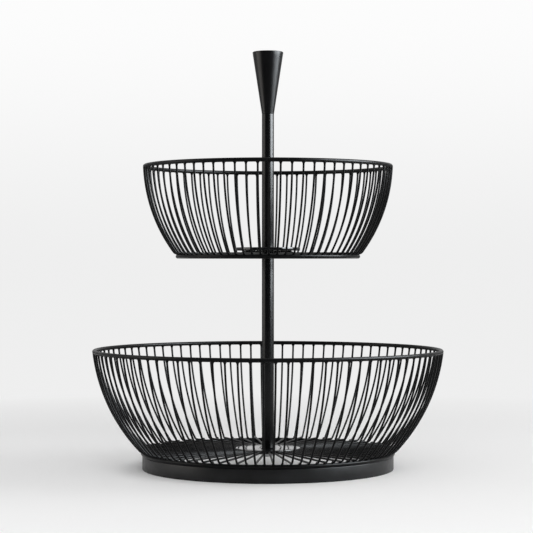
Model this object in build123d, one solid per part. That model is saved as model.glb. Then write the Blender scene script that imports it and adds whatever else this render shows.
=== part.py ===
from build123d import *
from math import sqrt
import os

# A two-tier wire basket on a central stem, standing on a steel band.
# Millimetres, +Z up, with the origin on the table under the middle of the stem.

# Base band: a flat strip bent into a hoop, on which everything stands
band_radius = 124.5
band_height = 13.5
band_thickness = 1.6

# Wires, by diameter, and how far one is pressed into the next where they are welded
rim_wire = 4.0
bottom_ring_wire = 4.2
rib_wire = 2.0
weld_depth = 0.15

# Lower basket: the foot overhang is how far its wall, carried down to the floor, passes the ring
lower_rim_radius = 171.6
lower_depth = 98.0
lower_wall_bow = 171.6
lower_foot_overhang = 3.4
lower_floor_rise = 0.2
lower_rib_count = 94
lower_first_rib_angle = 2.3

# Upper basket, measured the same way
upper_rim_radius = 121.8
upper_ring_radius = 89.4
upper_depth = 86.2
upper_wall_bow = 152.6
upper_foot_overhang = 3.0
upper_floor_rise = 4.5
upper_rib_count = 72
upper_first_rib_angle = 0.5

# Ribs: the bend over the bottom ring, and how many wall ribs go with one floor spoke
rib_bend_radius = 4.0
ribs_per_spoke = 2

# Hub plates, which the spokes meet and the stem clamps
hub_radius = 32.0
hub_thickness = 3.2
hub_edge_radius = 0.5

# Stem: two tubes with a threaded insert in each end
stem_radius = 6.0
stem_wall = 1.2
stem_edge_chamfer = 0.25
lower_stem_length = 195.6
upper_stem_length = 132.4
insert_length = 15.0

# Studs, plain where the real ones are threaded
stud_radius = 3.0
stud_engagement = 12.0
stud_point_chamfer = 0.6
running_clearance = 0.05

# Handle: a cone with its wide end up
handle_top_radius = 15.4
handle_length = 61.5
handle_edge_radius = 0.7
handle_hole_spare = 2.0

# Screw and washer under the lower hub
screw_head_radius = 5.5
screw_head_height = 3.8
screw_head_edge_radius = 1.2
screw_socket_sides = 6
screw_socket_across = 4.0
screw_socket_depth = 2.2
washer_radius = 9.0
washer_thickness = 1.6
washer_clearance = 0.2

# How far a cutting tool runs past what it cuts
overrun = 1.0

# Places that follow from the sizes above
lower_ring_radius = band_radius - band_thickness / 2
lower_ring_z = band_height + bottom_ring_wire / 2
wire_seat = (bottom_ring_wire + rib_wire) / 2 - weld_depth
lower_floor_z = lower_ring_z + wire_seat
lower_rim_z = lower_floor_z + lower_depth
lower_hub_z = lower_floor_z + lower_floor_rise
lower_stem_z = lower_hub_z + hub_thickness / 2
upper_hub_z = lower_stem_z + lower_stem_length + hub_thickness / 2
upper_floor_z = upper_hub_z - upper_floor_rise
upper_ring_z = upper_floor_z - wire_seat
upper_rim_z = upper_floor_z + upper_depth
upper_stem_z = upper_hub_z + hub_thickness / 2
handle_z = upper_stem_z + upper_stem_length
stem_bore_radius = stem_radius - stem_wall
tapped_radius = stud_radius + running_clearance
near_side = -90


def wire_ring(radius, wire, height):
    """A hoop of round wire, level, with its centre line at the given height."""
    return Pos(0, 0, height) * Torus(radius, wire / 2)


def base_band():
    """The strip hoop, standing on its edge."""
    outer = Cylinder(band_radius, band_height, align=(Align.CENTER, Align.CENTER, Align.MIN))
    inner = Pos(0, 0, -overrun) * Cylinder(
        band_radius - band_thickness,
        band_height + 2 * overrun,
        align=(Align.CENTER, Align.CENTER, Align.MIN),
    )
    return outer - inner


def hub_plate(height):
    """A round plate with soft edges and a hole for the stud."""
    plate = Pos(0, 0, height) * Cylinder(hub_radius, hub_thickness)
    plate = fillet(plate.edges(), hub_edge_radius)
    return plate - Pos(0, 0, height) * Cylinder(tapped_radius, hub_thickness + 2 * overrun)


def wall_centre(top, foot, bow):
    """Centre of the wall's arc, of radius bow, through the top and the foot of a rib."""
    chord = top - foot
    reach = sqrt(bow**2 - (chord.length / 2) ** 2)
    return (top + foot) / 2 + Vector(-chord.Z, 0, chord.X).normalized() * reach


def wall_rib(ring_radius, floor_z, hub_z, overhang, rim_radius, rim_z, bow):
    """One rib: from the middle of the bottom ring, round its bend and up the wall to the rim."""
    seat = Vector(ring_radius, 0, floor_z)
    inward = (Vector(hub_radius, 0, hub_z) - seat).normalized()
    upward = Vector(inward.Z, 0, -inward.X)
    foot = Vector(ring_radius + overhang, 0, floor_z)
    top = Vector(rim_radius + (rim_wire - rib_wire) / 2, 0, rim_z - rib_wire / 2)
    centre = wall_centre(top, foot, bow)
    start = seat + upward * rib_bend_radius - centre
    along = start.dot(inward)
    reach = along + sqrt(along**2 - start.dot(start) + (bow - rib_bend_radius) ** 2)
    bend_centre = centre + start - inward * reach
    outward = (bend_centre - centre).normalized()
    bend_start = bend_centre - upward * rib_bend_radius
    bend_middle = bend_centre + (outward - upward).normalized() * rib_bend_radius
    bend_end = centre + outward * bow
    wall_middle = centre + (outward + (top - centre).normalized()).normalized() * bow
    path = Wire([
        Line(seat, bend_start).edge(),
        ThreePointArc(bend_start, bend_middle, bend_end).edge(),
        ThreePointArc(bend_end, wall_middle, top).edge(),
    ])
    return sweep(Plane(origin=seat, z_dir=-inward) * Circle(rib_wire / 2), path=path)


def floor_spoke(ring_radius, floor_z, hub_z):
    """One straight floor wire, from the middle of the bottom ring into the hub plate's edge."""
    seat = Vector(ring_radius, 0, floor_z)
    run = Vector(hub_radius, 0, hub_z) - seat
    return Solid.make_cylinder(rib_wire / 2, run.length + overrun, Plane(origin=seat, z_dir=run))


def around(shape, count, first_angle):
    """Copies of a piece at even steps round the stem, counted from the near side."""
    step = 360 / count
    return Compound([Rot(0, 0, near_side + first_angle + step * turn) * shape for turn in range(count)])


def tube(bottom, length):
    """A stem tube, with its outer end edges eased."""
    outer = Pos(0, 0, bottom + length / 2) * Cylinder(stem_radius, length)
    outer = chamfer(outer.edges(), stem_edge_chamfer)
    return outer - Pos(0, 0, bottom + length / 2) * Cylinder(stem_bore_radius, length + 2 * overrun)


def tapped_insert(bottom):
    """A plug pressed into a tube's end, with its tapped hole."""
    middle = Pos(0, 0, bottom + insert_length / 2)
    hole = Cylinder(tapped_radius, insert_length + 2 * overrun)
    return middle * (Cylinder(stem_bore_radius, insert_length) - hole)


def stud(bottom, length):
    """A headless stud with pointed ends."""
    return Pos(0, 0, bottom + length / 2) * chamfer(Cylinder(stud_radius, length).edges(), stud_point_chamfer)


def handle():
    """The cone handle, its top edge rounded, with a tapped hole in its foot."""
    cone = Pos(0, 0, handle_z + handle_length / 2) * Cone(stem_radius, handle_top_radius, handle_length)
    cone = fillet(cone.edges().sort_by(Axis.Z)[-1], handle_edge_radius)
    cone = chamfer(cone.edges().sort_by(Axis.Z)[0], stem_edge_chamfer)
    depth = stud_engagement + handle_hole_spare
    hole = Pos(0, 0, handle_z - overrun) * Cylinder(
        tapped_radius, depth + overrun, align=(Align.CENTER, Align.CENTER, Align.MIN)
    )
    return cone - hole


def base_washer(top):
    """The flat washer between the screw's head and the lower hub plate."""
    middle = Pos(0, 0, top - washer_thickness / 2)
    hole = Cylinder(tapped_radius + washer_clearance, washer_thickness + 2 * overrun)
    return middle * (Cylinder(washer_radius, washer_thickness) - hole)


def base_screw(under_head):
    """The button-head screw that holds the stem from below, with a hexagon socket."""
    shank_length = washer_thickness + hub_thickness + stud_engagement
    shank = Pos(0, 0, under_head + shank_length / 2) * Cylinder(stud_radius, shank_length)
    shank = chamfer(shank.edges().sort_by(Axis.Z)[-1], stud_point_chamfer)
    head = Pos(0, 0, under_head - screw_head_height / 2) * Cylinder(screw_head_radius, screw_head_height)
    head = fillet(head.edges().sort_by(Axis.Z)[0], screw_head_edge_radius)
    socket_sketch = RegularPolygon(screw_socket_across / 2, screw_socket_sides, major_radius=False)
    socket = extrude(socket_sketch, amount=screw_socket_depth + overrun)
    return shank + head - Pos(0, 0, under_head - screw_head_height - overrun) * socket


lower_bottom_ring = wire_ring(lower_ring_radius, bottom_ring_wire, lower_ring_z)
lower_rim_ring = wire_ring(lower_rim_radius, rim_wire, lower_rim_z)
lower_hub_plate = hub_plate(lower_hub_z)
lower_rib = wall_rib(
    lower_ring_radius, lower_floor_z, lower_hub_z, lower_foot_overhang,
    lower_rim_radius, lower_rim_z, lower_wall_bow,
)
lower_rib = (lower_rib - lower_bottom_ring - lower_rim_ring).solid()
lower_spoke = floor_spoke(lower_ring_radius, lower_floor_z, lower_hub_z)
lower_spoke = (lower_spoke - lower_bottom_ring - lower_hub_plate).solid()

upper_bottom_ring = wire_ring(upper_ring_radius, bottom_ring_wire, upper_ring_z)
upper_rim_ring = wire_ring(upper_rim_radius, rim_wire, upper_rim_z)
upper_hub_plate = hub_plate(upper_hub_z)
upper_rib = wall_rib(
    upper_ring_radius, upper_floor_z, upper_hub_z, upper_foot_overhang,
    upper_rim_radius, upper_rim_z, upper_wall_bow,
)
upper_rib = (upper_rib - upper_bottom_ring - upper_rim_ring).solid()
upper_spoke = floor_spoke(upper_ring_radius, upper_floor_z, upper_hub_z)
upper_spoke = (upper_spoke - upper_bottom_ring - upper_hub_plate).solid()

screw_top = lower_hub_z - hub_thickness / 2
pieces = {
    "base_band": base_band(),
    "base_screw": base_screw(screw_top - washer_thickness),
    "base_washer": base_washer(screw_top),
    "lower_bottom_ring": lower_bottom_ring,
    "lower_rim_ring": lower_rim_ring,
    "lower_hub_plate": lower_hub_plate,
    "lower_wall_ribs": around(lower_rib, lower_rib_count, lower_first_rib_angle),
    "lower_floor_spokes": around(lower_spoke, lower_rib_count // ribs_per_spoke, lower_first_rib_angle),
    "lower_stem_tube": tube(lower_stem_z, lower_stem_length),
    "lower_stem_foot_insert": tapped_insert(lower_stem_z),
    "lower_stem_head_insert": tapped_insert(lower_stem_z + lower_stem_length - insert_length),
    "upper_bottom_ring": upper_bottom_ring,
    "upper_rim_ring": upper_rim_ring,
    "upper_hub_plate": upper_hub_plate,
    "upper_wall_ribs": around(upper_rib, upper_rib_count, upper_first_rib_angle),
    "upper_floor_spokes": around(upper_spoke, upper_rib_count // ribs_per_spoke, upper_first_rib_angle),
    "joining_stud": stud(upper_hub_z - hub_thickness / 2 - stud_engagement, hub_thickness + 2 * stud_engagement),
    "upper_stem_tube": tube(upper_stem_z, upper_stem_length),
    "upper_stem_foot_insert": tapped_insert(upper_stem_z),
    "upper_stem_head_insert": tapped_insert(handle_z - insert_length),
    "handle_stud": stud(handle_z - stud_engagement, 2 * stud_engagement),
    "handle": handle(),
}

os.makedirs("parts", exist_ok=True)
for name, shape in pieces.items():
    export_step(shape, f"parts/{name}.step")
    print(name, len(shape.solids()), "solids", round(shape.volume, 1), "mm3")
print("height", round(handle_z + handle_length, 2), "rims at", round(lower_rim_z, 2), round(upper_rim_z, 2))
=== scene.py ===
# %% [markdown]
# # A two-tier wire basket
#
# Two flared bowls of black coated wire hang on one thin stem. The stem ends in a cone handle, and it all
# stands on a flat steel hoop. The engineering model comes in first as a fixed frame, so that every piece
# made here lands exactly where it belongs. Lengths are in metres. +Z is up, and the viewer stands on the
# side of -Y.

# %% Load the frame
import random
from math import atan2, cos, degrees, pi, radians, sin, sqrt

import bmesh
import bpy
from mathutils import Matrix, Vector


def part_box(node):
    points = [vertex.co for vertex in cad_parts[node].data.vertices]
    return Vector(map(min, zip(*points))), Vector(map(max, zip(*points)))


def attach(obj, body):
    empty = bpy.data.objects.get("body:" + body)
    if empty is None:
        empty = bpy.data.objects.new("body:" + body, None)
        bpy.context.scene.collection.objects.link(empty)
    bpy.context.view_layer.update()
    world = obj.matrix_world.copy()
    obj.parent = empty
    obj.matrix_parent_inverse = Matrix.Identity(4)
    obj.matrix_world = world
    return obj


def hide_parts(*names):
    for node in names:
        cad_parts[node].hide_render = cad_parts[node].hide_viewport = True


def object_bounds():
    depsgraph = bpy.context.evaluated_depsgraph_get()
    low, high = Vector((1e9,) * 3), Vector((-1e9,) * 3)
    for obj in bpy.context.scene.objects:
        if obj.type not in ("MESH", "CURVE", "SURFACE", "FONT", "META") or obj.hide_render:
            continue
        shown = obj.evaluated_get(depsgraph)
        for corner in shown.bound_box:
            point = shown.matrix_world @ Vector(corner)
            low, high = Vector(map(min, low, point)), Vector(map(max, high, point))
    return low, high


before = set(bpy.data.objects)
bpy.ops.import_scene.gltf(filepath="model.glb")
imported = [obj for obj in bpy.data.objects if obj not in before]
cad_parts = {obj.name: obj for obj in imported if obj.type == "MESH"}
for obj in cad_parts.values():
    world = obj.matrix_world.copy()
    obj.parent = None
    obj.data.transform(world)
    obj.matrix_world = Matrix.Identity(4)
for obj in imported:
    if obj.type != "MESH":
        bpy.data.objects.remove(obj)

cad_low, cad_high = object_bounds()
print("engineering model from", cad_low, "to", cad_high)

# %% [markdown]
# ## Read the sizes off the frame
#
# A copied number goes stale when the model changes, so heights and radii are read from the boxes of the
# engineering nodes. Only what a box can't tell is written here: the wire's bow, its bend and the rib
# counts.
#
# In each basket, bow is the radius of a wall wire's long curve, and overhang is how far outside the
# bottom ring that curve would meet the floor. The first wire stands first degrees round from the near
# side. Where tucked is true, the floor wires pass under the plate.

# %% Sizes of wires and rings
MM = 0.001
UP = Vector((0, 0, 1))
RIB_RADIUS = 1.0 * MM
BEND_RADIUS = 4.0 * MM
WELD_DEPTH = 0.15 * MM

BASKETS = {
    "lower": {
        "body": "base",
        "ribs": 94,
        "first": 2.3,
        "bow": 171.6 * MM,
        "overhang": 3.4 * MM,
        "tucked": False,
    },
    "upper": {
        "body": "upper_basket",
        "ribs": 72,
        "first": 0.5,
        "bow": 152.6 * MM,
        "overhang": 3.0 * MM,
        "tucked": True,
    },
}


def ring_sizes(node):
    """Centre-line radius, height and wire radius of a level wire ring."""
    low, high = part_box(node)
    wire = (high.z - low.z) / 2
    return high.x - wire, (high.z + low.z) / 2, wire


def plate_sizes(node):
    """Outer radius, bottom and top of a round piece on the stem's axis."""
    low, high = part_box(node)
    return high.x, low.z, high.z


for name, basket in BASKETS.items():
    basket["ring"] = ring_sizes(f"{name}_bottom_ring")
    basket["rim"] = ring_sizes(f"{name}_rim_ring")
    basket["plate"] = plate_sizes(f"{name}_hub_plate")
    radius, height, wire = basket["ring"]
    basket["floor"] = height + wire + RIB_RADIUS - WELD_DEPTH
    print(name, "basket: rim radius", round(basket["rim"][0], 4), "ring radius", round(radius, 4))

# %% [markdown]
# ## A coat for steel
#
# Everything in the photograph is black powder coat. Powder melts into a skin with a faint orange-peel
# ripple, never a flat mirror. A noise on the object's own coordinates makes the ripple, and two coarser
# ones let the colour and the roughness drift a little. The thick stem and handle are smoother, so their
# roughness drifts less. The studs, the screw and the plugs are zinc-plated steel: a metal, with the fine
# turning marks that run round.

# %% Nodes that every finish is made from
def new_material(name):
    """An empty node material, with its shader and its output already joined."""
    material = bpy.data.materials.new(name)
    material.use_nodes = True
    tree = material.node_tree
    tree.nodes.clear()
    shader = tree.nodes.new("ShaderNodeBsdfPrincipled")
    output = tree.nodes.new("ShaderNodeOutputMaterial")
    tree.links.new(shader.outputs["BSDF"], output.inputs["Surface"])
    print("material", name)
    return material, tree, shader


def noise(tree, cells, detail, stretch=(1, 1, 1)):
    """A noise on Object coordinates, with that many cells to the metre."""
    place = tree.nodes.new("ShaderNodeTexCoord")
    mapping = tree.nodes.new("ShaderNodeMapping")
    mapping.inputs["Scale"].default_value = stretch
    texture = tree.nodes.new("ShaderNodeTexNoise")
    texture.inputs["Scale"].default_value = cells
    texture.inputs["Detail"].default_value = detail
    tree.links.new(place.outputs["Object"], mapping.inputs["Vector"])
    tree.links.new(mapping.outputs["Vector"], texture.inputs["Vector"])
    return texture.outputs["Fac"]


def spread(tree, value, low, high, start=0.3, end=0.7):
    """A value that runs from low to high while the one it is made from runs from start to end."""
    ranged = tree.nodes.new("ShaderNodeMapRange")
    ranged.inputs["From Min"].default_value = start
    ranged.inputs["From Max"].default_value = end
    ranged.inputs["To Min"].default_value = low
    ranged.inputs["To Max"].default_value = high
    tree.links.new(value, ranged.inputs["Value"])
    return ranged.outputs["Result"]


def blend_colours(tree, amount, first, second):
    """A colour between two, by amount."""
    mix = tree.nodes.new("ShaderNodeMix")
    mix.data_type = "RGBA"
    mix.inputs["A"].default_value = (*first, 1)
    mix.inputs["B"].default_value = (*second, 1)
    tree.links.new(amount, mix.inputs["Factor"])
    return mix.outputs["Result"]


def ripple(tree, shader, value, depth, below=None):
    """A bump of that depth in metres, on top of another bump if one is given."""
    bump = tree.nodes.new("ShaderNodeBump")
    bump.inputs["Distance"].default_value = depth
    tree.links.new(value, bump.inputs["Height"])
    if below:
        tree.links.new(below.outputs["Normal"], bump.inputs["Normal"])
    tree.links.new(bump.outputs["Normal"], shader.inputs["Normal"])
    return bump


# %% The black coats
DEEP_BLACK = (0.0020, 0.0021, 0.0024)
SOFT_BLACK = (0.0040, 0.0042, 0.0048)
WORN_BLACK = (0.0070, 0.0074, 0.0082)
GRAIN_FINENESS = 5
GRAIN_SHARE = 1 / 6


def powder_coat(name, dark, pale, rough, drift, shine, peel_cells, peel_depth):
    """Black powder coat: drifting tone, drifting roughness, orange peel and a finer grain on the peel."""
    material, tree, shader = new_material(name)
    tone = spread(tree, noise(tree, cells=60, detail=4), 0, 1)
    roughness = spread(tree, noise(tree, cells=140, detail=3), rough, rough + drift)
    tree.links.new(blend_colours(tree, tone, dark, pale), shader.inputs["Base Color"])
    tree.links.new(roughness, shader.inputs["Roughness"])
    shader.inputs["Specular IOR Level"].default_value = shine
    peel = ripple(tree, shader, noise(tree, peel_cells, detail=2), peel_depth)
    grain = noise(tree, peel_cells * GRAIN_FINENESS, detail=1)
    ripple(tree, shader, grain, peel_depth * GRAIN_SHARE, below=peel)
    return material


WIRE_COAT = powder_coat(
    "wire_coat", DEEP_BLACK, SOFT_BLACK,
    rough=0.28, drift=0.10, shine=0.09, peel_cells=500, peel_depth=0.003 * MM,
)
BAND_COAT = powder_coat(
    "band_coat", DEEP_BLACK, WORN_BLACK,
    rough=0.32, drift=0.10, shine=0.25, peel_cells=320, peel_depth=0.008 * MM,
)
PLATE_COAT = powder_coat(
    "plate_coat", SOFT_BLACK, WORN_BLACK,
    rough=0.08, drift=0.10, shine=0.50, peel_cells=260, peel_depth=0.002 * MM,
)
STEM_COAT = powder_coat(
    "stem_coat", DEEP_BLACK, SOFT_BLACK,
    rough=0.25, drift=0.02, shine=0.22, peel_cells=240, peel_depth=0.0006 * MM,
)
HANDLE_COAT = powder_coat(
    "handle_coat", DEEP_BLACK, SOFT_BLACK,
    rough=0.28, drift=0.03, shine=0.22, peel_cells=240, peel_depth=0.0006 * MM,
)

# %% The plated steel
ZINC = (0.60, 0.61, 0.63)
ZINC_DULLED = 0.72
MARKS_STRETCH = (1, 1, 12)
MARKS_DEPTH = 0.02 * MM


def plated_steel(name, colour, rough, drift):
    """Zinc-plated steel, with the fine turning marks that run round a screw."""
    material, tree, shader = new_material(name)
    worn = spread(tree, noise(tree, cells=500, detail=3), 0, 1)
    dull = tuple(ZINC_DULLED * part for part in colour)
    roughness = spread(tree, noise(tree, cells=900, detail=2), rough, rough + drift)
    tree.links.new(blend_colours(tree, worn, dull, colour), shader.inputs["Base Color"])
    tree.links.new(roughness, shader.inputs["Roughness"])
    shader.inputs["Metallic"].default_value = 1.0
    marks = noise(tree, cells=400, detail=2, stretch=MARKS_STRETCH)
    ripple(tree, shader, marks, MARKS_DEPTH)
    return material


PLAIN_STEEL = plated_steel("plain_steel", ZINC, rough=0.28, drift=0.18)

# %% [markdown]
# ## Turn a bmesh into a piece
#
# A piece needs the same few things each time: a mesh, a material, smooth shading with its hard edges
# kept, a body to ride on and the node that it stands for. One helper does all of them, and prints what it
# made. The cells below only make shapes. Most of the round ones are turned, as on a real lathe: an
# outline is drawn on one side of the axis, and a spin carries it right round.

# %% Piece and lathe helpers
MERGE_REACH = 0.0005 * MM
CREASE = 40


def piece(name, bm, material, body, node):
    """A finished piece from a bmesh, riding on a body in place of an engineering node."""
    bmesh.ops.remove_doubles(bm, verts=bm.verts, dist=MERGE_REACH)
    bmesh.ops.recalc_face_normals(bm, faces=bm.faces)
    mesh = bpy.data.meshes.new(name)
    bm.to_mesh(mesh)
    bm.free()
    mesh.shade_smooth()
    mesh.set_sharp_from_angle(angle=radians(CREASE))
    mesh.materials.append(material)
    made = bpy.data.objects.new(name, mesh)
    bpy.context.scene.collection.objects.link(made)
    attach(made, body)
    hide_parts(node)
    triangles = sum(len(face.vertices) - 2 for face in mesh.polygons)
    print(name, "for", node, "with", triangles, "triangles")


def lathe(outline, steps, closed=True):
    """Turn an outline of (radius, height) points round the stem's axis."""
    bm = bmesh.new()
    points = [bm.verts.new((radius, 0, height)) for radius, height in outline]
    edges = [bm.edges.new(pair) for pair in zip(points, points[1:])]
    if closed:
        edges.append(bm.edges.new((points[-1], points[0])))
    bmesh.ops.spin(
        bm, geom=points + edges, cent=(0, 0, 0), axis=UP, angle=2 * pi, steps=steps, use_merge=True,
    )
    return bm


# %% [markdown]
# ## Rings of round wire
#
# Each bowl has a rim ring and a smaller ring under its floor. A torus is a circle turned round an axis,
# so a spin of one circle is the whole job. Sixteen sides round a four-millimetre wire keep its edge round
# in a close view.

# %% Rim rings and bottom rings
RING_SIDES = 16
RING_STEPS = 288


def wire_ring(radius, height, wire):
    """A level ring of round wire."""
    bm = bmesh.new()
    made = bmesh.ops.create_circle(bm, segments=RING_SIDES, radius=wire)
    upright = Matrix.Rotation(pi / 2, 3, "X")
    bmesh.ops.rotate(bm, verts=made["verts"], cent=(0, 0, 0), matrix=upright)
    bmesh.ops.translate(bm, verts=made["verts"], vec=(radius, 0, height))
    section = bm.verts[:] + bm.edges[:]
    bmesh.ops.spin(
        bm, geom=section, cent=(0, 0, 0), axis=UP, angle=2 * pi, steps=RING_STEPS, use_merge=True,
    )
    return bm


for name, basket in BASKETS.items():
    body = basket["body"]
    rim = wire_ring(*basket["rim"])
    piece(f"{name}_rim", rim, WIRE_COAT, body, f"{name}_rim_ring")
    ring = wire_ring(*basket["ring"])
    piece(f"{name}_ring", ring, WIRE_COAT, body, f"{name}_bottom_ring")

# %% [markdown]
# ## The wall wires
#
# A wall wire starts flat over the bottom ring, turns up through a tight bend and follows one long bow to
# the rim. A wire bender makes it in just those moves, and so does the mesh: a circle is extruded
# straight, spun round the bend's centre and spun again round the bow's centre. The last loops widen into
# the small fillet that welding and coating leave under the rim. One wire is made and then copied round,
# with a trace of unevenness.
#
# The bow is a circle through the rim and the floor. The bend is a smaller circle that touches both the
# bow and the floor wire, which fixes its centre.

# %% Where the wire bends
def wall_route(basket):
    """The places, directions and angles of a wall wire's centre line, in the plane of X and Z."""
    ring_radius = basket["ring"][0]
    plate_radius, plate_low, plate_high = basket["plate"]
    rim_radius, rim_height, rim_wire = basket["rim"]
    seat = Vector((ring_radius, 0, basket["floor"]))
    inward = (Vector((plate_radius, 0, (plate_low + plate_high) / 2)) - seat).normalized()
    normal = Vector((inward.z, 0, -inward.x))
    foot = Vector((ring_radius + basket["overhang"], 0, basket["floor"]))
    top = Vector((rim_radius + rim_wire - RIB_RADIUS, 0, rim_height - RIB_RADIUS))
    chord = top - foot
    reach = sqrt(basket["bow"] ** 2 - (chord.length / 2) ** 2)
    bow_centre = (top + foot) / 2 + Vector((-chord.z, 0, chord.x)).normalized() * reach
    start = seat + normal * BEND_RADIUS - bow_centre
    along = start.dot(inward)
    back = along + sqrt(along ** 2 - start.length_squared + (basket["bow"] - BEND_RADIUS) ** 2)
    bend_centre = bow_centre + start - inward * back
    outward = (bend_centre - bow_centre).normalized()
    bend_angle = outward.angle(-normal)
    bow_angle = outward.angle((top - bow_centre).normalized())
    bend_start = bend_centre - normal * BEND_RADIUS
    return seat, inward, bend_start, bend_centre, bend_angle, bow_centre, bow_angle


for name, basket in BASKETS.items():
    basket["route"] = wall_route(basket)
    bend = round(degrees(basket["route"][4]))
    bow = round(degrees(basket["route"][6]))
    print(name, "wall wire: a bend of", bend, "degrees and a bow of", bow)

# %% Moves of the wire bender
RIB_SIDES = 10


def circle_at(bm, place, facing):
    """A wire's first loop, square to the way that it faces."""
    made = bmesh.ops.create_circle(bm, segments=RIB_SIDES, radius=RIB_RADIUS)
    sideways = Vector((0, 1, 0))
    matrix = Matrix((sideways.cross(facing), sideways, facing)).transposed()
    bmesh.ops.rotate(bm, verts=made["verts"], cent=(0, 0, 0), matrix=matrix)
    bmesh.ops.translate(bm, verts=made["verts"], vec=place)
    return bm.edges[:]


def only_verts(made):
    """The vertices among what an operator made."""
    return [item for item in made if isinstance(item, bmesh.types.BMVert)]


def only_edges(made):
    """The edges among what an operator made."""
    return [item for item in made if isinstance(item, bmesh.types.BMEdge)]


def straight_on(bm, edges, shift):
    """Extrude an open loop by a shift, and return the new loop's vertices and edges."""
    made = bmesh.ops.extrude_edge_only(bm, edges=edges)["geom"]
    verts = only_verts(made)
    bmesh.ops.translate(bm, verts=verts, vec=shift)
    tips = set(verts)
    return verts, [edge for edge in only_edges(made) if tips.issuperset(edge.verts)]


def spin_on(bm, edges, centre, angle, steps):
    """Carry an open loop round a centre in the plane of X and Z, and return the last loop."""
    made = bmesh.ops.spin(bm, geom=edges, cent=centre, axis=(0, 1, 0), angle=-angle, steps=steps)
    return only_verts(made["geom_last"]), only_edges(made["geom_last"])


# %% One wall wire
BEND_STEPS = 6
BOW_STEPS = 22
RIM_WELD = 3.4 * MM
RIM_WIDTHS = (1.05, 1.15, 1.35, 1.75, 2.4, 3.0)


def widen(verts, factor, towards_stem):
    """Widen a wire's loop sideways, and half as much inward, where the weld runs onto the ring."""
    centre = sum((vert.co for vert in verts), Vector()) / len(verts)
    for vert in verts:
        vert.co.y *= factor
        inner = (vert.co - centre).dot(towards_stem)
        if inner > 0:
            vert.co += towards_stem * inner * (factor - 1) / 2


def wall_wire(basket):
    """One wall wire in the plane of X and Z, its widened top inside the rim."""
    seat, inward, bend_start, bend_centre, bend_angle, bow_centre, bow_angle = basket["route"]
    bm = bmesh.new()
    loop = circle_at(bm, seat, -inward)
    bmesh.ops.edgeloop_fill(bm, edges=loop)
    loop = straight_on(bm, loop, bend_start - seat)[1]
    loop = spin_on(bm, loop, bend_centre, bend_angle, BEND_STEPS)[1]
    weld_angle = RIM_WELD / basket["bow"]
    loop = spin_on(bm, loop, bow_centre, bow_angle - weld_angle, BOW_STEPS)[1]
    before = 1
    for width in RIM_WIDTHS:
        verts, loop = spin_on(bm, loop, bow_centre, weld_angle / len(RIM_WIDTHS), 1)
        widen(verts, width / before, Vector((-1, 0, 0)))
        before = width
    bmesh.ops.edgeloop_fill(bm, edges=loop)
    return bm


# %% All the wall wires
NEAR_SIDE = -90
STRAY = 0.10
hands = random.Random(7)


def wire_angles(basket):
    """The turn of each wall wire round the stem in degrees, each a hair off its even place."""
    step = 360 / basket["ribs"]
    start = NEAR_SIDE + basket["first"]
    return [start + step * turn + hands.uniform(-STRAY, STRAY) for turn in range(basket["ribs"])]


def turn_to(bm, verts, angle):
    """Turn some vertices round the stem's axis by an angle in degrees."""
    matrix = Matrix.Rotation(radians(angle), 3, "Z")
    bmesh.ops.rotate(bm, verts=verts, cent=(0, 0, 0), matrix=matrix)


def copies_round(bm, angles):
    """Repeat what a bmesh holds at each angle round the stem."""
    original = bm.verts[:] + bm.edges[:] + bm.faces[:]
    for angle in angles[1:]:
        copy = bmesh.ops.duplicate(bm, geom=original)["geom"]
        turn_to(bm, only_verts(copy), angle)
    turn_to(bm, only_verts(original), angles[0])
    return bm


for name, basket in BASKETS.items():
    basket["angles"] = wire_angles(basket)
    wires = copies_round(wall_wire(basket), basket["angles"])
    piece(f"{name}_wall", wires, WIRE_COAT, basket["body"], f"{name}_wall_ribs")

# %% [markdown]
# ## The floor wires
#
# Every second wall wire runs on over the bottom ring to the round plate in the middle. In the mesh that
# stretch is its own piece, as it is in the frame. Below, the wires meet the plate's edge: a circle is
# extruded in a straight line and widens where it is welded. In the upper basket the photograph shows pale
# gaps under the ends of the plate, so there the wires stay level, pass under it and rise to its underside
# in a soft curve of small steps.

# %% Floor wires
WALL_WIRES_PER_FLOOR_WIRE = 2
PLATE_WELD = 1.8 * MM
PLATE_WELD_OUTSIDE = 0.6 * PLATE_WELD
PLATE_WIDTHS = (1.12, 1.35, 1.8, 2.3)
TUCK = 3.0 * MM
TUCK_RUN = 9.0 * MM
TUCK_STEPS = 8


def butted_wire(bm, loop, basket, seat, inward):
    """Carry a floor wire straight to the plate's edge, and widen it into the weld."""
    run = (seat.x - basket["plate"][0]) / -inward.x
    loop = straight_on(bm, loop, inward * (run - PLATE_WELD_OUTSIDE))[1]
    before = 1
    for width in PLATE_WIDTHS:
        verts, loop = straight_on(bm, loop, inward * PLATE_WELD / len(PLATE_WIDTHS))
        bmesh.ops.scale(bm, verts=verts, vec=(1, width / before, 1))
        before = width
    return loop


def tucked_wire(bm, loop, basket, seat):
    """Carry a floor wire level under the plate, and up to its underside."""
    plate_radius, plate_low = basket["plate"][:2]
    rise = plate_low - RIB_RADIUS + WELD_DEPTH - seat.z
    loop = straight_on(bm, loop, Vector((plate_radius - TUCK - seat.x, 0, 0)))[1]
    climbed = 0
    for step in range(1, TUCK_STEPS + 1):
        share = step / TUCK_STEPS
        height = rise * share * share * (3 - 2 * share)
        loop = straight_on(bm, loop, Vector((-TUCK_RUN / TUCK_STEPS, 0, height - climbed)))[1]
        climbed = height
    return loop


def floor_wire(basket):
    """One floor wire, from over the bottom ring to the plate."""
    seat, inward = basket["route"][:2]
    bm = bmesh.new()
    loop = circle_at(bm, seat, -inward)
    bmesh.ops.edgeloop_fill(bm, edges=loop)
    if basket["tucked"]:
        loop = tucked_wire(bm, loop, basket, seat)
    else:
        loop = butted_wire(bm, loop, basket, seat, inward)
    bmesh.ops.edgeloop_fill(bm, edges=loop)
    return bm


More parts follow.
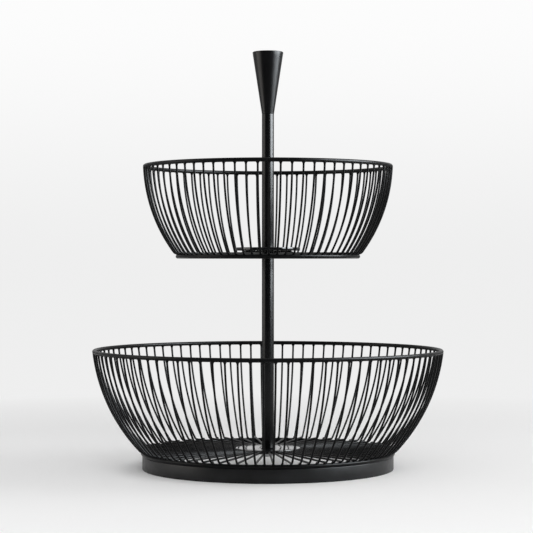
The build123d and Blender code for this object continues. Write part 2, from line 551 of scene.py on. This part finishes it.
for name, basket in BASKETS.items():
    angles = basket["angles"][::WALL_WIRES_PER_FLOOR_WIRE]
    wires = copies_round(floor_wire(basket), angles)
    piece(f"{name}_floor", wires, WIRE_COAT, basket["body"], f"{name}_floor_spokes")

# %% [markdown]
# ## Welds over the bottom rings
#
# Where a wall wire crosses the bottom ring, current is passed through both and they sink into each other.
# The coat then rounds off the corner. A flattened ball in each crossing gives that swelling, with only a
# few faces each.

# %% Weld swellings
SWELL = Vector((1.7, 1.5, 0.9)) * MM
SWELL_SIDES = 10
SWELL_LAYERS = 6


def weld_swelling(basket):
    """One low swelling where a wall wire crosses the bottom ring."""
    radius, height, wire = basket["ring"]
    bm = bmesh.new()
    bmesh.ops.create_uvsphere(bm, u_segments=SWELL_SIDES, v_segments=SWELL_LAYERS, radius=1)
    bmesh.ops.scale(bm, verts=bm.verts, vec=SWELL)
    bmesh.ops.translate(bm, verts=bm.verts, vec=(radius, 0, height + wire))
    return bm


for name, basket in BASKETS.items():
    swellings = copies_round(weld_swelling(basket), basket["angles"])
    piece(f"{name}_welds", swellings, WIRE_COAT, basket["body"], f"{name}_wall_ribs")

# %% [markdown]
# ## The hoop and the round plates
#
# The hoop is a strip bent round and standing on its edge. It and the plates are the same all the way
# round, so they are turned from an outline. Their edges are rounded in the outline itself, because coated
# steel has no sharp edge.

# %% Rounded outlines
CORNER_STEPS = 4


def rounded_outline(inner, outer, bottom, top, edge):
    """A rectangle of radius and height whose four corners are rounded."""
    corners = (
        (outer - edge, bottom + edge, -90),
        (outer - edge, top - edge, 0),
        (inner + edge, top - edge, 90),
        (inner + edge, bottom + edge, 180),
    )
    outline = []
    for radius, height, start in corners:
        for step in range(CORNER_STEPS + 1):
            angle = radians(start + 90 * step / CORNER_STEPS)
            outline.append((radius + edge * cos(angle), height + edge * sin(angle)))
    return outline


# %% Hoop and plates
HOOP_WALL = 1.6 * MM
HOOP_EDGE = 0.45 * MM
HOOP_STEPS = 360
PLATE_EDGE = 0.5 * MM
PLATE_STEPS = 128
HOLE_RADIUS = 3.05 * MM

radius, low, high = plate_sizes("base_band")
hoop = rounded_outline(radius - HOOP_WALL, radius, low, high, HOOP_EDGE)
piece("base_hoop", lathe(hoop, HOOP_STEPS), BAND_COAT, "base", "base_band")
for name, basket in BASKETS.items():
    radius, low, high = basket["plate"]
    plate = lathe(rounded_outline(HOLE_RADIUS, radius, low, high, PLATE_EDGE), PLATE_STEPS)
    piece(f"{name}_plate", plate, PLATE_COAT, basket["body"], f"{name}_hub_plate")

# %% [markdown]
# ## The stem and the handle
#
# Two tubes meet at the upper plate, and the handle's foot meets the upper tube in a fine line that shows
# in the photograph. Each of the three has an eased edge there. Without it the line would vanish in the
# render. All three are turned, the tubes from a rounded strip and the solid handle from half of its
# section. The lowest ring of the handle's flank stands a small share of a step up, which eases its foot.

# %% Stem tubes
TUBE_WALL = 1.2 * MM
TUBE_EDGE = 0.3 * MM
TUBE_STEPS = 64

for name, body in (("lower_stem_tube", "base"), ("upper_stem_tube", "upper_stem")):
    radius, low, high = plate_sizes(name)
    tube = lathe(rounded_outline(radius - TUBE_WALL, radius, low, high, TUBE_EDGE), TUBE_STEPS)
    piece(name.replace("_tube", ""), tube, STEM_COAT, body, name)

# %% Handle
HANDLE_TOP_RADIUS = 15.4 * MM
HANDLE_EDGE = 0.8 * MM
HANDLE_HOLE_DEPTH = 14 * MM
HANDLE_STEPS = 96
FLANK_RINGS = 12
FOOT_EASE = 0.025
stem_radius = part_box("upper_stem_tube")[1].x
handle_low, handle_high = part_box("handle")


def handle_outline():
    """Half of the handle's section, from the end of its hole round to the middle of its top."""
    bottom, top = handle_low.z, handle_high.z
    tall = top - bottom
    flare = HANDLE_TOP_RADIUS - stem_radius
    hole_end = bottom + HANDLE_HOLE_DEPTH
    outline = [(0, hole_end), (HOLE_RADIUS, hole_end), (HOLE_RADIUS, bottom + TUBE_EDGE)]
    outline += [(HOLE_RADIUS + TUBE_EDGE, bottom), (stem_radius - TUBE_EDGE, bottom)]
    for ring in range(FLANK_RINGS):
        share = (ring + FOOT_EASE) / FLANK_RINGS
        outline.append((stem_radius + flare * share, bottom + tall * share))
    lean = atan2(flare, tall)
    centre_height = top - HANDLE_EDGE
    centre_radius = HANDLE_TOP_RADIUS - flare * HANDLE_EDGE / tall - HANDLE_EDGE / cos(lean)
    for step in range(CORNER_STEPS * 2 + 1):
        angle = -lean + (pi / 2 + lean) * step / (CORNER_STEPS * 2)
        radius = centre_radius + HANDLE_EDGE * cos(angle)
        outline.append((radius, centre_height + HANDLE_EDGE * sin(angle)))
    return outline + [(0, top)]


handle = lathe(handle_outline(), HANDLE_STEPS, closed=False)
piece("cone_handle", handle, HANDLE_COAT, "handle", "handle")

# %% [markdown]
# ## Threads
#
# The studs show only when the handle or the upper stem is taken off, and then their thread is what a
# person looks at. A thread is one tooth spun round the stem with a small rise at each step. The rise of a
# whole turn is the tooth's own height, so neighbouring turns meet and merge. A cut at each end trims the
# screw to length.

# %% Threaded studs
STUD_RADIUS = 3.0 * MM
THREAD_DEPTH = 0.55 * MM
PITCH = 1.0 * MM
CREST_START = 0.44
CREST_END = 0.56
THREAD_STEPS = 28
TURNS_BELOW = 2
TURNS_TO_SPARE = 3
THREAD_MERGE_REACH = 0.005 * MM
CUT_REACH = 0.01 * MM


def cut_edges(bm, height):
    """The open edges that a level cut has left at that height."""
    level = {vert for vert in bm.verts if abs(vert.co.z - height) < CUT_REACH}
    return [edge for edge in bm.edges if edge.is_boundary and level.issuperset(edge.verts)]


def thread(low, high):
    """A closed threaded rod from one height to another."""
    root = STUD_RADIUS - THREAD_DEPTH
    tooth = ((root, 0), (STUD_RADIUS, CREST_START), (STUD_RADIUS, CREST_END), (root, 1))
    turns = int((high - low) / PITCH) + TURNS_TO_SPARE
    bm = bmesh.new()
    points = [bm.verts.new((radius, 0, low + (share - TURNS_BELOW) * PITCH)) for radius, share in tooth]
    edges = [bm.edges.new(pair) for pair in zip(points, points[1:])]
    bmesh.ops.spin(
        bm, geom=points + edges, cent=(0, 0, 0), axis=UP, angle=2 * pi * turns, steps=THREAD_STEPS * turns,
        dvec=UP * PITCH / THREAD_STEPS,
    )
    bmesh.ops.remove_doubles(bm, verts=bm.verts, dist=THREAD_MERGE_REACH)
    for height, outward in ((low, -UP), (high, UP)):
        bmesh.ops.bisect_plane(
            bm, geom=bm.verts[:] + bm.edges[:] + bm.faces[:], plane_co=(0, 0, height), plane_no=outward,
            clear_outer=True,
        )
        bmesh.ops.edgeloop_fill(bm, edges=cut_edges(bm, height))
    return bm


for name in ("joining_stud", "handle_stud"):
    low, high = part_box(name)
    stud = thread(low.z, high.z)
    piece(name.replace("_", "_thread_"), stud, PLAIN_STEEL, "upper_stem", name)

# %% [markdown]
# ## The screw and washer underneath
#
# Nobody sees these until the basket is turned over. The screw's head starts as a circle, which is extruded
# down and narrowed into a dome. Its crown is drawn in to a hexagon, and the hexagon is pushed up into the
# head. The plugs in the ends of the stem tubes never show at all, so they keep their engineering shape and
# only get the same steel.

# %% Head of the base screw
HEAD_STEPS = 24
HEAD_DOME = 1.2 * MM
SOCKET_REACH = 2.0 * MM
SOCKET_DEPTH = 2.2 * MM


def screw_head(bottom, top, radius):
    """A button head, upside down, with a hexagon socket in its crown."""
    bm = bmesh.new()
    made = bmesh.ops.create_circle(bm, segments=HEAD_STEPS, radius=radius)
    bmesh.ops.translate(bm, verts=made["verts"], vec=(0, 0, top))
    bmesh.ops.edgeloop_fill(bm, edges=bm.edges[:])
    loop = straight_on(bm, bm.edges[:], Vector((0, 0, bottom + HEAD_DOME - top)))[1]
    before = 0
    for step in range(1, CORNER_STEPS + 1):
        angle = pi / 2 * step / CORNER_STEPS
        drop = HEAD_DOME * sin(angle)
        verts, loop = straight_on(bm, loop, Vector((0, 0, before - drop)))
        before = drop
        for vert in verts:
            vert.co.xy = vert.co.xy.normalized() * (radius - HEAD_DOME + HEAD_DOME * cos(angle))
    verts, loop = straight_on(bm, loop, Vector())
    for vert in verts:
        from_flat = atan2(vert.co.y, vert.co.x) % (pi / 3) - pi / 6
        vert.co.xy = vert.co.xy.normalized() * SOCKET_REACH / cos(from_flat)
    loop = straight_on(bm, loop, Vector((0, 0, SOCKET_DEPTH)))[1]
    bmesh.ops.edgeloop_fill(bm, edges=loop)
    return bm


# %% Screw and washer
WASHER_HOLE_RADIUS = 3.25 * MM
WASHER_EDGE = 0.25 * MM
WASHER_STEPS = 64

screw_low, screw_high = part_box("base_screw")
washer_low, washer_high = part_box("base_washer")
head = screw_head(screw_low.z, washer_low.z, screw_high.x)
piece("screw_head", head, PLAIN_STEEL, "base", "base_screw")
shank = thread(washer_low.z, screw_high.z)
piece("screw_thread", shank, PLAIN_STEEL, "base", "base_screw")
washer = rounded_outline(WASHER_HOLE_RADIUS, washer_high.x, washer_low.z, washer_high.z, WASHER_EDGE)
piece("washer", lathe(washer, WASHER_STEPS), PLAIN_STEEL, "base", "base_washer")

# %% Plugs in the tubes
for tube in ("lower", "upper"):
    for end in ("foot", "head"):
        name = f"{tube}_stem_{end}_insert"
        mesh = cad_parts[name].data
        mesh.materials.clear()
        mesh.materials.append(PLAIN_STEEL)
        print(name, "in plated steel")

# %% [markdown]
# ## The table
#
# In the photograph the table runs out into white with no edge to see. A round disc of matte paper stands
# in for it. Far out the paper fades into an even glow, as pale as the background behind it, so no horizon
# shows.

# %% Floor
FLOOR_RADIUS = 1.0
FLOOR_SIDES = 96
FADE_START = 0.45
FADE_END = 0.98
PAPER = (0.94, 0.94, 0.94)
PAPER_SHADE = 0.985
HORIZON = 0.86


def mix_shaders(tree, amount, first, second, output):
    """Join two shaders to an output: the first where amount is 0, and the second where it is 1."""
    mix = tree.nodes.new("ShaderNodeMixShader")
    tree.links.new(amount, mix.inputs["Fac"])
    tree.links.new(first, mix.inputs[1])
    tree.links.new(second, mix.inputs[2])
    tree.links.new(mix.outputs["Shader"], output.inputs["Surface"])


def paper(name, colour):
    """Matte paper that fades into the even glow of the tent before its edge."""
    material, tree, shader = new_material(name)
    shade = tuple(PAPER_SHADE * part for part in colour)
    cloudy = noise(tree, cells=3, detail=2)
    tree.links.new(blend_colours(tree, cloudy, shade, colour), shader.inputs["Base Color"])
    shader.inputs["Roughness"].default_value = 0.9
    shader.inputs["Specular IOR Level"].default_value = 0.0
    place = tree.nodes.new("ShaderNodeTexCoord")
    reach = tree.nodes.new("ShaderNodeVectorMath")
    reach.operation = "LENGTH"
    tree.links.new(place.outputs["Object"], reach.inputs[0])
    fade = spread(tree, reach.outputs["Value"], 0, 1, FADE_START, FADE_END)
    glow = tree.nodes.new("ShaderNodeEmission")
    glow.inputs["Color"].default_value = (HORIZON, HORIZON, HORIZON, 1)
    output = next(node for node in tree.nodes if node.type == "OUTPUT_MATERIAL")
    mix_shaders(tree, fade, shader.outputs["BSDF"], glow.outputs["Emission"], output)
    return material


bm = bmesh.new()
bmesh.ops.create_circle(bm, segments=FLOOR_SIDES, radius=FLOOR_RADIUS, cap_ends=True)
floor_mesh = bpy.data.meshes.new("floor")
bm.to_mesh(floor_mesh)
bm.free()
floor_mesh.materials.append(paper("floor_paper", PAPER))
floor = bpy.data.objects.new("floor", floor_mesh)
bpy.context.scene.collection.objects.link(floor)
print("floor of radius", FLOOR_RADIUS)

# %% [markdown]
# ## The tent
#
# The shine in the photograph looks like that of a white tent: pale at the sides and overhead, and dark
# behind the camera. The world's light is that tent. It depends on the direction alone, so a few smooth
# steps along the axes draw it. Low down behind the basket it is darker, which keeps the edges of the stem
# and the handle black as in the photograph. The camera itself sees a plain sky, which starts as pale as the
# rim of the paper.

# %% Sky helpers
world = bpy.data.worlds.new("studio")
bpy.context.scene.world = world
world.use_nodes = True
sky = world.node_tree
sky.nodes.clear()
place = sky.nodes.new("ShaderNodeTexCoord")
direction = sky.nodes.new("ShaderNodeSeparateXYZ")
sky.links.new(place.outputs["Generated"], direction.inputs["Vector"])


def ramp(axis, start, end, low, high):
    """A smooth step from low to high along one axis of the sky's direction."""
    stepped = spread(sky, direction.outputs[axis], low, high, start, end)
    stepped.node.interpolation_type = "SMOOTHSTEP"
    return stepped


def combine(operation, first, second):
    """Two strengths of light, multiplied together or the greater of the two."""
    joined = sky.nodes.new("ShaderNodeMath")
    joined.operation = operation
    sky.links.new(first, joined.inputs[0])
    sky.links.new(second, joined.inputs[1])
    return joined.outputs["Value"]


def white_light(strength):
    """The light of a white sky of that strength."""
    light = sky.nodes.new("ShaderNodeBackground")
    light.inputs["Color"].default_value = (1, 1, 1, 1)
    sky.links.new(strength, light.inputs["Strength"])
    return light.outputs["Background"]


# %% World
TENT = 0.60
CAMERA_SIDE = 0.012
BEHIND = 0.25
CEILING = 0.30
SEEN_ABOVE = 0.975

sides = ramp("Y", start=-0.65, end=-0.10, low=CAMERA_SIDE, high=TENT)
back_wall = ramp("Y", start=0.30, end=0.85, low=1.0, high=BEHIND)
above_table = ramp("Z", start=0.0, end=0.08, low=0.0, high=1.0)
walls = combine("MULTIPLY", sides, combine("MAXIMUM", back_wall, above_table))
overhead = ramp("Z", start=0.45, end=0.85, low=0.0, high=CEILING)
tent = white_light(combine("MAXIMUM", walls, overhead))
seen = white_light(ramp("Z", start=-0.01, end=0.15, low=HORIZON, high=SEEN_ABOVE))
ray = sky.nodes.new("ShaderNodeLightPath")
output = sky.nodes.new("ShaderNodeOutputWorld")
mix_shaders(sky, ray.outputs["Is Camera Ray"], tent, seen, output)
print("world with", len(sky.nodes), "nodes")

# %% [markdown]
# ## Soft boxes and cards
#
# A large soft box on the right draws the broad shine, and a weak one overhead helps it. The box in front
# adds to matte colour alone, so it lightens the table and its shadow and leaves the black paint as it is.
# Three cards, which could be sheets of white board, show only in gloss. They draw the cool stripe down the
# right of the stem, the faint warm one down its left and the pale shine on the round plates. The right one
# is strong, for black paint, so it is kept off the bare steel studs, which it would bleach.

# %% Light helpers
COOL = (0.90, 0.96, 1.0)
WARM = (1.0, 0.96, 0.90)
PLAIN = (1.0, 1.0, 1.0)


def soft_light(name, azimuth, distance, height, width, tall, glow, tint=PLAIN, lights=("gloss", "matte")):
    """
    A soft box that faces the middle of the object.

    Azimuth 0 is at the viewer, and 90 is on the right. The light adds to the gloss of things, to their
    matte colour, or to both, as lights says.
    """
    data = bpy.data.lights.new(name, "AREA")
    data.shape = "RECTANGLE"
    data.size = width
    data.size_y = tall
    data.energy = glow * pi * width * tall
    data.color = tint
    light = bpy.data.objects.new(name, data)
    bpy.context.scene.collection.objects.link(light)
    turn = radians(azimuth)
    light.location = (distance * sin(turn), -distance * cos(turn), height)
    middle = Vector((0, 0, cad_high.z / 2))
    light.rotation_euler = (middle - light.location).to_track_quat("-Z", "Y").to_euler()
    light.visible_camera = False
    light.visible_glossy = "gloss" in lights
    light.visible_diffuse = "matte" in lights
    print("light", name, "at", [round(part, 2) for part in light.location])
    return light


def spare(light, names):
    """Keep a light off some pieces."""
    spared = bpy.data.collections.new(f"{light.name}_spares")
    for name in names:
        spared.objects.link(bpy.data.objects[name])
    for entry in spared.collection_objects:
        entry.light_linking.link_state = "EXCLUDE"
    light.light_linking.receiver_collection = spared
    print(light.name, "spares", names)


# %% Soft boxes
soft_light("right_box", azimuth=96, distance=3.0, height=1.9, width=2.2, tall=2.2, glow=3.2)
soft_light("top_box", azimuth=-20, distance=1.4, height=2.6, width=1.8, tall=1.8, glow=0.6)
soft_light(
    "front_box", azimuth=3, distance=2.4, height=1.2, width=2.4, tall=1.8, glow=2.9, lights=("matte",),
)

# %% Cards that show only in gloss
right_card = soft_light(
    "right_card", azimuth=76, distance=1.0, height=0.70, width=1.0, tall=0.9, glow=24,
    tint=COOL, lights=("gloss",),
)
soft_light(
    "left_card", azimuth=-80, distance=1.2, height=0.55, width=0.9, tall=1.2, glow=2.4,
    tint=WARM, lights=("gloss",),
)
soft_light(
    "back_card", azimuth=180, distance=1.2, height=0.17, width=0.9, tall=0.16, glow=0.35, lights=("gloss",),
)
spare(right_card, ("joining_thread_stud", "handle_thread_stud"))

# %% [markdown]
# ## Camera
#
# The camera's place, tilt and lens were fitted to the photograph, by the ovals of the rims and the hoop
# and by the stem. It stands level with the middle of the basket, so the ovals are flat, and far off with a
# long lens, so the far side of each rim is hardly smaller than the near side.

# %% Camera
CAMERA_PLACE = (-0.0014, -1.7264, 0.2045)
CAMERA_TILT = 89.856
LENS = 117.44
SENSOR = 36

camera_data = bpy.data.cameras.new("camera")
camera_data.lens = LENS
camera_data.sensor_width = SENSOR
camera = bpy.data.objects.new("camera", camera_data)
bpy.context.scene.collection.objects.link(camera)
camera.location = CAMERA_PLACE
camera.rotation_euler = (radians(CAMERA_TILT), 0, 0)
bpy.context.scene.camera = camera
bpy.context.scene.view_settings.view_transform = "Standard"
print("camera at", CAMERA_PLACE)
